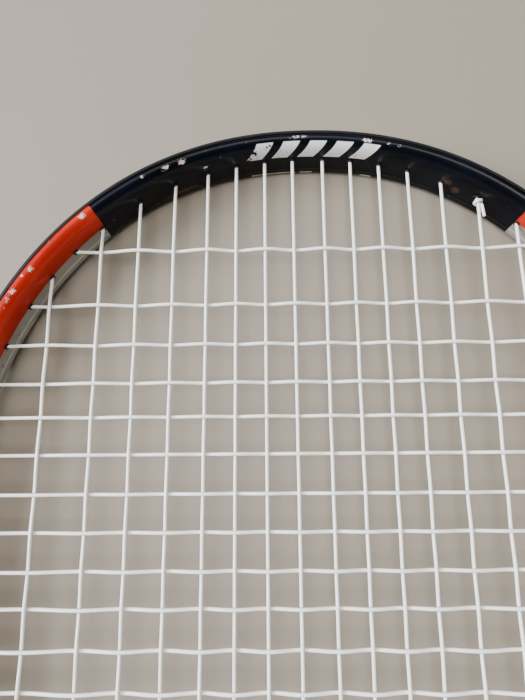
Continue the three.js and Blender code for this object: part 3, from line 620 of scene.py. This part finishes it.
class FramePaint(Look):
    """Gloss black at the tip and the throat; between them red in front and silver behind."""

    def __init__(self):
        super().__init__(
            "frame_paint", Coat_Weight=0.16, Coat_Roughness=0.30, Coat_IOR=1.5, Specular_IOR_Level=0.06
        )
        self.along = self.attribute("along")
        self.outward = self.attribute("outward")
        self.height = self.attribute("height")
        self.coarse = self.noise(38, 5, 0.6)
        self.fine = self.noise(420, 6, 0.65)
        self.wander = self.spread(self.fine, 0, 1, -0.00035, 0.00035)
        self.coloured, self.front = self.zones()
        self.chipped = self.chips()
        paint = self.mix(self.coloured, self.black(), self.mix(self.front, self.silver(), self.red()))
        paint = self.mix(self.decal(), paint, colour(0.80, 0.81, 0.80))
        paint = self.mix(self.times(self.scuffs(), 0.5), paint, colour(0.11, 0.055, 0.035))
        paint = self.mix(self.chipped, paint, self.primer())
        paint = self.mix(self.rubbed_edges(), paint, colour(0.80, 0.75, 0.66))
        paint = self.mix(self.scratches(), paint, colour(0.45, 0.43, 0.42))
        self.finish(Base_Color=paint, Roughness=self.rough(), Metallic=self.metallic(), Normal=self.relief())

    def zones(self):
        """Where the paint isn't black, and where it faces the front."""
        distance = self.math("ABSOLUTE", self.along)
        beyond_tip = self.above(self.plus(distance, self.wander), black_end, 0.00012)
        before_throat = self.below(distance, throat_black, 0.0002)
        edge = self.plus(self.height, self.times(self.wander, 0.5))
        return self.times(beyond_tip, before_throat), self.above(edge, 0.0, 0.0001)

    def black(self):
        share = self.spread(self.coarse, 0.35, 0.7, 0, 1)
        return self.mix(share, colour(0.0012, 0.0015, 0.003), colour(0.0022, 0.0035, 0.009))

    def red(self):
        share = self.spread(self.coarse, 0.3, 0.7, 0, 1)
        return self.mix(share, colour(0.43, 0.014, 0.0055), colour(0.57, 0.027, 0.0105))

    def silver(self):
        """Metallic flake, with some dirt, and a painted highlight along the raised line."""
        flake = self.spread(self.noise(5200, 2, 0.5), 0.3, 0.7, 0, 1)
        silver = self.mix(flake, colour(0.34, 0.337, 0.300), colour(0.46, 0.455, 0.41))
        dirt = self.spread(self.noise(90, 8, 0.7), 0.5, 0.8, 0, 0.4)
        silver = self.mix(dirt, silver, colour(0.22, 0.20, 0.165))
        # painted highlight: the silver is paler along the raised line, where the light catches it
        painted_ridge_highlight = self.between(self.height, *RIDGE_HEIGHTS, 3e-4)
        return self.mix(self.times(painted_ridge_highlight, 0.8), silver, colour(0.62, 0.61, 0.55))

    def decal(self):
        """Slanted bars on the front of the tip, worn thin at their left end."""
        lean = self.times(self.minus(self.height, DECAL_MIDDLE_HEIGHT), DECAL_SLANT)
        slanted = self.plus(self.along, lean)
        from_start = self.minus(slanted, DECAL_SPAN[0])
        phase = self.math("FRACT", self.over(from_start, DECAL_PITCH))
        bar = self.between(phase, *DECAL_BAR, 0.01)
        inside = self.between(slanted, *DECAL_SPAN, 1e-4)
        lower = self.above(self.height, DECAL_LOW_HEIGHT, 1e-4)
        band = self.times(lower, self.below(self.outward, DECAL_FAR_OUTWARD, 1e-4))
        wear = self.spread(self.along, 0.010, 0.033, 0, 0.16)
        kept = self.below(self.plus(self.noise(260, 8, 0.75), wear), 0.63, 0.012)
        return self.times(self.times(bar, inside), self.times(band, kept))

    def torn(self, patches):
        """The distance to the nearest patch, made ragged."""
        spot = self.node("CombineXYZ", (self.along, self.outward, self.height))
        uneven = self.spread(self.noise(2600, 5, 0.75), 0.3, 0.7, -0.45, 0.45)
        return self.plus(self.nearest_patch(self.strayed(spot, 1150, TEAR), patches), uneven)

    def scuffs(self):
        return self.below(self.torn(SCUFFS), 0.9, 0.3)

    def chips(self):
        """The listed chips, and pinholes all over the front."""
        speck = self.above(self.noise(620, 2, 0.5), 0.80, 0.006)
        pinhole = self.times(speck, self.above(self.height, 0.009, 1e-3))
        return self.math("MAXIMUM", self.below(self.torn(CHIPS), 0.9, 0.06), pinhole)

    def primer(self):
        share = self.spread(self.fine, 0.4, 0.6, 0, 1)
        return self.mix(share, colour(0.72, 0.44, 0.36), colour(0.93, 0.90, 0.87))

    def rubbed_edges(self):
        frayed = self.plus(self.along, self.spread(self.fine, 0, 1, -0.0012, 0.0012))
        rubbed = 0.0
        for low, high in RUBBED_EDGES:
            rubbed = self.math("MAXIMUM", rubbed, self.between(frayed, low, high, 1e-4))
        band = self.between(self.plus(self.height, self.wander), *RUBBED_HEIGHTS, 1e-4)
        return self.times(rubbed, self.times(band, self.below(self.outward, 0.0022)))

    def scratches(self):
        scratch = self.noise(700, 3, 0.5, self.scaled(1, 0.12, 1))
        return self.times(self.above(scratch, 0.745, 0.02), 0.25)

    def metallic(self):
        """Only the silver is a little metallic, and not where it is chipped."""
        silver = self.times(self.coloured, self.minus(1.0, self.front))
        return self.times(self.times(silver, 0.35), self.minus(1.0, self.chipped))

    def rough(self):
        smudged = self.spread(self.coarse, 0.3, 0.75, 0.17, 0.33)
        return self.math("MAXIMUM", smudged, self.times(self.chipped, 0.7))

    def relief(self):
        """A slight ripple, orange peel over it, and the depth of the chips."""
        ripple = self.bump(self.noise(55, 2, 0.4), 0.35, 0.0004)
        peel = self.bump(self.noise(1400, 2, 0.5), 0.10, 0.0001, ripple)
        return self.bump(self.minus(1.0, self.chipped), 0.7, 0.00012, peel)


def moulded(name, dark, light, roughness, grain=1800, scuffs=0.2):
    """Moulded plastic with a fine grain and rubbed, paler places."""
    look = Look(name, Specular_IOR_Level=0.2)
    rubbed = look.spread(look.noise(120, 7, 0.7), 0.48, 0.75, 0, scuffs)
    base = look.mix(look.noise(300, 4, 0.6), colour(*dark), colour(*light))
    pale = colour(*[min(1.0, 2.6 * channel + 0.06) for channel in light])
    rough = look.spread(look.noise(75, 5, 0.6), 0.3, 0.7, roughness - 0.08, roughness + 0.1)
    grainy = look.bump(look.noise(grain, 3, 0.6), 0.28, 0.00012)
    worn = look.bump(look.noise(160, 6, 0.7), 0.15, 0.0003, grainy)
    return look.finish(Base_Color=look.mix(rubbed, base, pale), Roughness=rough, Normal=worn)


def string_look():
    """Synthetic gut: off-white and faintly translucent, with a fine grain under a gloss coat."""
    look = Look(
        "string_gut", Subsurface_Weight=0.25, Subsurface_Scale=0.0012, Subsurface_Radius=(1.0, 0.85, 0.6),
        Coat_Weight=0.35, Coat_Roughness=0.18, Specular_IOR_Level=0.5,
    )
    tone = look.mix(look.noise(45, 5, 0.6), colour(0.90, 0.89, 0.83), colour(0.96, 0.955, 0.92))
    grey = look.spread(look.noise(850, 5, 0.7), 0.58, 0.8, 0, 0.3)
    tone = look.mix(grey, tone, colour(0.50, 0.47, 0.41))
    rough = look.spread(look.noise(160, 4, 0.6), 0.3, 0.7, 0.28, 0.46)
    grain = look.bump(look.noise(2600, 3, 0.6), 0.2, 0.00008)
    return look.finish(Base_Color=tone, Roughness=rough, Normal=grain)


def steel_look():
    look = Look("zinc_steel", Metallic=1.0)
    tone = look.mix(look.noise(500, 5, 0.6), colour(0.52, 0.52, 0.53), colour(0.72, 0.72, 0.71))
    rough = look.spread(look.noise(900, 4, 0.6), 0.3, 0.7, 0.22, 0.42)
    grain = look.bump(look.noise(2200, 3, 0.5), 0.15, 0.00006)
    return look.finish(Base_Color=tone, Roughness=rough, Normal=grain)


HOLE_PITCH, HOLE_ROW, HOLE_RADIUS = 0.0046, 0.0032, 0.00052


def grip_look():
    """Perforated synthetic leather: rows of small holes along the strip, painted dark for the shade in them,
    and a pebbled skin.
    """
    look = Look("grip_leather", Specular_IOR_Level=0.35, Sheen_Weight=0.12, Sheen_Roughness=0.5)
    on_strip = look.attribute("strip_along")
    across = look.attribute("strip_across")
    rows = look.over(across, HOLE_ROW)
    half_pitches = look.times(look.math("FLOOR", rows), 0.5)
    shifted = look.plus(look.over(on_strip, HOLE_PITCH), half_pitches)
    x = look.times(look.minus(look.math("FRACT", shifted), 0.5), HOLE_PITCH)
    y = look.times(look.minus(look.math("FRACT", rows), 0.5), HOLE_ROW)
    reach = look.math("SQRT", look.plus(look.times(x, x), look.times(y, y)))
    solid = look.above(reach, HOLE_RADIUS, 0.00010)
    pebbles = look.node("TexVoronoi", {"Vector": look.place(), "Scale": 1500.0}, output="Distance")
    worn = look.spread(look.noise(24, 6, 0.65), 0.42, 0.72, 0, 1)
    base = look.mix(worn, colour(0.012, 0.012, 0.013), colour(0.034, 0.033, 0.032))
    dusty = look.spread(look.noise(500, 6, 0.7), 0.55, 0.8, 0, 0.25)
    base = look.mix(dusty, base, colour(0.09, 0.085, 0.078))
    # painted shade: the holes are near black for the shade inside them, as they are only a bump
    base = look.mix(solid, colour(0.002, 0.002, 0.002), base)
    rough = look.spread(worn, 0, 1, 0.68, 0.48)
    skin = look.bump(pebbles, 0.35, 0.00018)
    holes = look.bump(solid, 0.8, 0.0004, skin)
    return look.finish(Base_Color=base, Roughness=rough, Normal=holes)


def rubber_look():
    look = Look("collar_rubber", Specular_IOR_Level=0.3)
    bloom = look.spread(look.noise(60, 7, 0.7), 0.45, 0.75, 0, 0.5)
    base = look.mix(bloom, colour(0.010, 0.010, 0.011), colour(0.045, 0.044, 0.043))
    rough = look.spread(look.noise(110, 4, 0.6), 0.3, 0.7, 0.62, 0.82)
    grain = look.bump(look.noise(1500, 4, 0.6), 0.3, 0.00012)
    return look.finish(Base_Color=base, Roughness=rough, Normal=grain)


def tape_look():
    look = Look("finishing_tape", Specular_IOR_Level=0.5)
    base = look.mix(look.noise(70, 5, 0.6), colour(0.42, 0.030, 0.012), colour(0.55, 0.050, 0.018))
    creased = look.bump(look.noise(260, 3, 0.5, look.scaled(1, 0.25, 1)), 0.25, 0.0003)
    rough = look.spread(look.noise(200, 4, 0.6), 0.3, 0.7, 0.34, 0.5)
    return look.finish(Base_Color=base, Roughness=rough, Normal=creased)


# ---- the frame
def frame_tube():
    back = mirrored(TUBE_BACK)[len(TUBE_BACK):-1]
    section = rounded(TUBE_FRONT + back + RIDGE, 1.2)
    verts, faces, marks = swept_wall(tube_wall, section)
    along = np.repeat(marks - tip_mark, len(section))
    outward = np.tile(section[:, 0], len(marks))
    attributes = {"along": along * MM, "height": verts[:, 2] * MM, "outward": outward * MM}
    return new_piece("tube_painted", verts, faces, "racket", "frame_paint", ("frame_tube",), 50, attributes)


ARM_GAP = 0.05
ARM_REACH = 9  # points farther out than this are past the arm
TAPER_LENGTH = 14
END_HEIGHT, TAPER_CURVE = 0.84, 0.6  # the end's share of the full height, and how soon that is reached


def throat_bridge():
    """Its ends are drawn back to the inner walls of the arms, and lowered, so that it thins into them."""
    section = rounded(mirrored(BRIDGE_HALF), 1.4)
    verts, faces, marks = swept_wall(bridge_wall, section)
    arms = np.array([tube_wall.nearest(np.array(v)) for v in verts[:, :2]])
    foot = tube_wall.along(tube_wall.points, arms)
    normal = tube_wall.along(tube_wall.normal, arms)
    depth = np.einsum("ij,ij->i", verts[:, :2] - foot, normal)
    excess = np.clip(depth + ARM_GAP, 0, None) * (depth < ARM_REACH)
    verts[:, :2] -= normal * excess[:, None]
    from_end = np.repeat(np.minimum(marks, marks[-1] - marks), len(section))
    verts[:, 2] *= END_HEIGHT + (1 - END_HEIGHT) * np.clip(from_end / TAPER_LENGTH, 0, 1) ** TAPER_CURVE
    # a metre along the wall, the paint is black all over
    along, outward = np.ones(len(verts)), np.zeros(len(verts))
    attributes = {"along": along, "height": verts[:, 2] * MM, "outward": outward}
    return new_piece(
        "bridge_painted", verts, faces, "racket", "bridge_black", ("throat_bridge",), 50, attributes
    )


BORE_DEPTH = 1.9
POINT = 0.02  # a radius that closes a turned shape


def turned(grommet, profile, sides, height=0.0):
    """A closed shape turned round a grommet's axis, from a profile of (outward, radius)."""
    angle = full_turn(sides)
    turn = np.outer(np.cos(angle), grommet.tangent) + np.outer(np.sin(angle), [0, 0, 1])
    rings = [grommet.place(reach, 0, height) + radius * turn for reach, radius in profile]
    return np.vstack(rings), rings_to_faces(len(profile), sides)


def barrel(grommet):
    """A grommet's barrel: a tube with a rounded lip, bored a little way in."""
    outer, inner = (TIED_BARREL, TIED_BORE) if grommet.tied else (PLAIN_BARREL, PLAIN_BORE)
    mouth = -grommet.rise - GROMMET_INSIDE
    bottom = mouth + BORE_DEPTH
    profile = [
        (grommet.floor - 0.3, outer), (mouth + 0.35, outer), (mouth + 0.1, outer - 0.1), (mouth, outer - 0.3),
        (mouth, inner + 0.15), (mouth + 0.12, inner), (bottom, inner), (bottom, POINT),
    ]
    return turned(grommet, profile, 20)


def strip(name, outline, wall, first, last, ease):
    """A moulded strip in the channel of a wall, with the barrels of all the grommets on its stretch."""
    build = Build()
    shift = BRIDGE_SHIFT if wall is bridge_wall else 0
    section = rounded([(u + shift, v) for u, v in mirrored(outline)], ease)
    verts, faces, _ = swept_wall(wall, section, first, last)
    build.add(verts, faces)
    for grommet in all_grommets:
        if grommet.wall is wall and first < grommet.s < last:
            build.add(*barrel(grommet))
    return build.piece(f"{name}_moulded", "racket", "nylon_black", (name,), smooth_angle=40)


def mark_between(grommets, order):
    return (grommets[order - 1].s + grommets[order].s) / 2


BUMPER_CROSSES = 3
SIDE_STRIP_END, BRIDGE_STRIP_END = 4.0, 2.4  # how far a strip goes on past its last grommet
STRIP_GAP = 1.0
bumper_right = mark_between(cross_ends[1], BUMPER_CROSSES)
bumper_left = mark_between(cross_ends[-1], BUMPER_CROSSES)
right_end = main_throats[right_tie].s - SIDE_STRIP_END
left_end = main_throats[left_tie].s + SIDE_STRIP_END
bridge_marks = [grommet.s for grommet in all_grommets if grommet.wall is bridge_wall]
bridge_strip = (min(bridge_marks) - BRIDGE_STRIP_END, max(bridge_marks) + BRIDGE_STRIP_END)

RIVET_STANDS = 0.35  # how far its inner head stands off the wall
RIVET_OUTER_FACE = 7.25


def rivet(name, side, height):
    """A flat-headed rivet through the bridge and the arm."""
    site = Grommet(oval_below(RIVET_ANGLE) * [side, 1])
    inner, outer = -site.rise - RIVET_STANDS, RIVET_OUTER_FACE
    profile = [
        (inner - 0.62, POINT), (inner - 0.6, 1.0), (inner - 0.42, 1.6), (inner, 1.9), (inner + 0.5, 1.9),
        (inner + 0.6, 1.2), (outer - 0.6, 1.2), (outer - 0.5, 1.9), (outer, 1.9), (outer + 0.42, 1.6),
        (outer + 0.6, 1.0), (outer + 0.62, POINT),
    ]
    return new_piece(f"{name}_head", *turned(site, profile, 24, height), "racket", "steel", (name,))


# ---- the handle
HANDLE = (15.0, 13.6, 5.8)  # half width, half height, bevel


def octagon(growth, ease, size=HANDLE):
    """A handle's outline, grown by a distance on every face, with its corners eased."""
    half_width, half_height, bevel = size
    x, z = half_width + growth, half_height + growth
    cut = bevel + growth * (2 - math.sqrt(2))
    corners = [(x, z - cut), (x - cut, z), (cut - x, z), (-x, z - cut)]
    return rounded(corners + [(-a, -b) for a, b in corners], ease, 4)


def lofted(name, levels, body, slot, replaced, **more):
    """Octagons along the handle, as (y, growth) or (y, growth, size), joined into one closed skin.

    Where the last level is the first again, the skin turns back inside and closes on itself."""
    rings = []
    for y, growth, *size in levels:
        rings.append(np.array([[x, y, z] for x, z in octagon(growth, 1.8, *size)]))
    sides = len(rings[0])
    if np.allclose(rings[0], rings[-1]):
        rings = rings[:-1]
        faces = closed_skin(len(rings), sides)
    else:
        faces = [face[::-1] for face in rings_to_faces(len(rings), sides)]
    return new_piece(name, np.vstack(rings), faces, body, slot, replaced, **more)


def dense(outline, spacing):
    """Evenly spaced points on a closed outline, with their places along it and its length."""
    closed = np.vstack([outline, outline[:1]])
    marks = np.concatenate([[0], np.cumsum(np.linalg.norm(np.diff(closed, axis=0), axis=1))])
    at = np.linspace(0, marks[-1], int(marks[-1] / spacing), endpoint=False)
    return np.array([np.interp(at, marks, closed[:, k]) for k in (0, 1)]).T, at, marks[-1]


GRIP_FROM, GRIP_TO = 8.6, 184.0
GRIP_THICKNESS = 1.3
GRIP_DEPTH = 0.95  # from the outline in to the hidden inner skin
GRIP_ROUND_STEP, GRIP_ALONG_STEP = 0.9, 0.55
WRAP_PITCH = 24.0
WRAP_RISE = 0.5
LAP_SHARE = 0.045  # of the pitch, for the chamfered edge of a turn
END_ROUND, END_DROP = 1.5, 0.35  # how long the eased ends are, and how far they go down


def grip():
    """A strip wound upwards in a helix: each turn laps over the one below, with a chamfered edge."""
    outline, at, girth = dense(octagon(GRIP_THICKNESS, 2.2), GRIP_ROUND_STEP)
    outward = outline / np.linalg.norm(outline, axis=1)[:, None]
    heights = np.arange(GRIP_FROM, GRIP_TO + 0.01, GRIP_ALONG_STEP)
    verts, on_strip, across = [], [], []
    for y in heights:
        turn = (y - GRIP_FROM) / WRAP_PITCH - at / girth
        share = turn - np.floor(turn)
        lap = np.clip(share / LAP_SHARE, 0, 1) * (1 - share) ** 0.6
        end = min((y - GRIP_FROM) / END_ROUND, (GRIP_TO - y) / END_ROUND, 1)
        ridge = WRAP_RISE * lap + END_DROP * math.sqrt(max(end, 0)) - END_DROP
        ring = outline + outward * ridge[:, None]
        verts += [[x, y, z] for x, z in ring]
        across += list(share * WRAP_PITCH * MM)
        on_strip += list((np.floor(turn) * girth + at) * MM)
    inner_ends = (GRIP_TO, GRIP_FROM)
    for y in inner_ends:
        verts += [[x, y, z] for x, z in outline - outward * GRIP_DEPTH]
        across += [0.0] * len(outline)
        on_strip += [0.0] * len(outline)
    faces = closed_skin(len(heights) + len(inner_ends), len(outline))
    attributes = {"strip_along": on_strip, "strip_across": across}
    return new_piece("grip_wrap", verts, faces, "racket", "grip_black", ("grip_tape",), 50, attributes)


def butt_cap():
    levels = [
        (0, 0.6), (0, 1.4), (0.35, 2.4), (1.3, 3.2), (2.9, 3.5), (5.0, 3.3), (6.8, 2.7), (8.0, 1.6),
        (8.2, 0.1), (26.7, 0.0), (26.7, -2.0),
    ]
    return lofted("butt_cap_moulded", levels, "racket", "cap_black", ("butt_cap",), smooth_angle=45)


RING_RADII = (7.0, 9.6)
RING_HALF_THICKNESS = 0.35
RING_STEPS, RING_SIDES = 72, 10


def butt_rings():
    """Two plain raised rings round the middle of the butt end."""
    build = Build()
    for radius in RING_RADII:
        verts, faces = [], []
        for i in range(RING_STEPS):
            around = 2 * math.pi * i / RING_STEPS
            out = np.array([math.cos(around), 0, math.sin(around)])
            for turn in full_turn(RING_SIDES):
                reach = radius + RING_HALF_THICKNESS * math.cos(turn)
                verts.append(reach * out + [0, RING_HALF_THICKNESS * math.sin(turn), 0])
            a, b = i * RING_SIDES, (i + 1) % RING_STEPS * RING_SIDES
            for k in range(RING_SIDES):
                n = (k + 1) % RING_SIDES
                faces.append((a + k, b + k, b + n, a + n))
        build.add(verts, faces)
    return build.piece("butt_end_rings", "racket", "cap_black", ())


def collar():
    """A soft rubber sleeve with three ribs, which sits over the end of the tape and narrows to a lip."""
    lip = (14.2, 12.2, 3.0)
    levels = [
        (191.0, 1.95), (191.0, 2.9), (191.4, 3.3), (193.0, 3.4), (193.5, 3.1), (194.2, 3.1), (194.7, 3.4),
        (196.3, 3.4), (196.8, 3.1), (197.5, 3.1), (198.0, 3.4), (199.6, 3.4), (200.1, 3.1), (201.0, 3.0),
        (203.5, 2.6), (205.6, 1.6), (207.0, 0.4), (207.0, 0.0, lip), (200.0, 0.0, lip), (200.0, 1.95),
        (191.0, 1.95),
    ]
    node = ("rubber_collar",)
    return lofted("rubber_collar_ribbed", levels, "collar", "rubber_black", node, smooth_angle=60)


def finishing_tape():
    levels = [
        (181.4, 1.5), (181.4, 1.95), (184.2, 1.98), (185.4, 1.72), (191.0, 1.66), (196.8, 1.6), (197.0, 1.4),
        (197.0, 0.35), (184.3, 0.35), (184.3, 1.5), (181.4, 1.5),
    ]
    return lofted("finishing_tape_wound", levels, "racket", "tape_red", ("finishing_tape",), smooth_angle=60)


# ---- putting it together
def make_strings():
    gut = string_look()
    for name, route in (("main_string", main_route()), ("cross_string", cross_route())):
        cord = tube_along(route, STRING_RADIUS)
        gut.on(new_piece(f"{name}_gut", *cord, "racket", "string_white", (name,)))
    tied = cross_crossings(TIE_OFF_CROSS)
    knots = [
        ("main_start_knot", cross_ends[-1][TIE_OFF_CROSS], CROSS_LANE, tied[0]),
        ("main_end_knot", cross_ends[1][TIE_OFF_CROSS], CROSS_LANE, tied[-1]),
        ("cross_start_knot", main_heads[right_tie], MAIN_LANE, main_crossings(right_tie)[0]),
        ("cross_end_knot", main_throats[left_tie], MAIN_LANE, main_crossings(left_tie)[-1]),
    ]
    for place in knots:
        gut.on(knot(*place))


def make_frame():
    FramePaint().on(frame_tube(), throat_bridge())
    nylon = moulded("nylon_black", (0.0045, 0.0048, 0.006), (0.009, 0.0095, 0.011), 0.58, scuffs=0.14)
    nylon.on(
        strip("bumper_guard", BUMPER_HALF, tube_wall, bumper_right, bumper_left, 0.7),
        strip("side_grommet_strip_right", STRIP_HALF, tube_wall, right_end, bumper_right - STRIP_GAP, 0.3),
        strip("side_grommet_strip_left", STRIP_HALF, tube_wall, bumper_left + STRIP_GAP, left_end, 0.3),
        strip("bridge_grommet_strip", STRIP_HALF, bridge_wall, *bridge_strip, 0.3),
    )
    steel = steel_look()
    for side, side_name in ((-1, "left"), (1, "right")):
        for height, face_name in ((-RIVET_HEIGHT, "back"), (RIVET_HEIGHT, "front")):
            steel.on(rivet(f"bridge_rivet_{side_name}_{face_name}", side, height))
    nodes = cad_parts
    steel.on(*(nodes[name] for name in nodes if "screw" in name))
    shells = moulded("pallet_white", (0.66, 0.64, 0.58), (0.74, 0.72, 0.66), 0.6)
    shells.on(nodes["handle_pallet_front"], nodes["handle_pallet_back"])
    moulded("spacer_grey", (0.12, 0.12, 0.115), (0.16, 0.16, 0.155), 0.7, 900).on(nodes["throat_spacer"])


def make_handle():
    grip_look().on(grip())
    cap = moulded("cap_black", (0.010, 0.010, 0.011), (0.018, 0.018, 0.019), 0.42, 2600, 0.12)
    cap.on(butt_cap(), butt_rings())
    rubber_look().on(collar())
    tape_look().on(finishing_tape())


# ---- camera, floor and light
CAMERA_PLACE = Vector((-16.3, TIP_Y - 119.8, 190.1)) * MM
CAMERA_TURN = (math.radians(-12.41), math.radians(-0.64), math.radians(0.55))
CAMERA_LENS = 27.05
TIP_RIM_HEIGHT = -11.5
FLOOR_GAP = 0.3


def make_camera():
    data = bpy.data.cameras.new("camera")
    data.lens = CAMERA_LENS
    data.sensor_width = 36
    data.clip_start = 0.01
    camera = add_object("camera", data)
    x, y, z = CAMERA_TURN
    to_camera = Matrix.Rotation(z, 3, "Z") @ Matrix.Rotation(y, 3, "Y") @ Matrix.Rotation(x, 3, "X")
    camera.matrix_world = Matrix.Translation(CAMERA_PLACE) @ to_camera.transposed().to_4x4()
    bpy.context.scene.camera = camera


def make_floor():
    """A pale floor just under the lowest points of the butt cap and the tip."""
    butt = Vector((0, 5 * MM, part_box("butt_cap")[0].z))
    tip = Vector((0, TIP_Y * MM, TIP_RIM_HEIGHT * MM))
    tilt = math.atan((tip.z - butt.z) / (tip.y - butt.y))
    place = butt - Vector((0, 0, FLOOR_GAP * MM))
    bpy.ops.mesh.primitive_plane_add(size=8, location=place, rotation=(tilt, 0, 0))
    floor = bpy.context.object
    floor.name = "floor"
    look = Look("floor_pale", Roughness=0.75, Specular_IOR_Level=0.25)
    tone = look.mix(look.noise(6, 4, 0.5), colour(0.250, 0.214, 0.170), colour(0.285, 0.247, 0.199))
    look.finish(Base_Color=tone, Normal=look.bump(look.noise(600, 4, 0.6), 0.08, 0.0002))
    look.on(floor)


def area_light(name, place, aim, size, power, tint=(1, 1, 1)):
    data = bpy.data.lights.new(name, "AREA")
    data.shape = "RECTANGLE"
    data.size, data.size_y = size
    data.energy = power
    data.color = tint
    light = add_object(name, data)
    light.location = place
    light.rotation_euler = (Vector(aim) - Vector(place)).to_track_quat("-Z", "Y").to_euler()


def make_light():
    middle = (0, 0.45, 0)
    area_light("window", (-1.5, 0.75, 1.0), middle, (1.2, 1.0), 90, (0.90, 0.95, 1.0))
    area_light("ceiling", (-0.3, 0.35, 1.9), middle, (0.9, 0.9), 34, (1.0, 0.98, 0.95))
    area_light("back", (0.3, 2.0, 0.9), (0, 0.6, 0), (1.2, 0.5), 6)
    world = bpy.data.worlds.new("studio")
    bpy.context.scene.world = world
    world.use_nodes = True
    background = next(n for n in world.node_tree.nodes if n.type == "BACKGROUND")
    background.inputs["Color"].default_value = (0.86, 0.89, 0.94, 1)
    background.inputs["Strength"].default_value = 0.16


make_camera()
make_strings()
make_frame()
make_handle()
make_floor()
make_light()

bpy.context.view_layer.update()
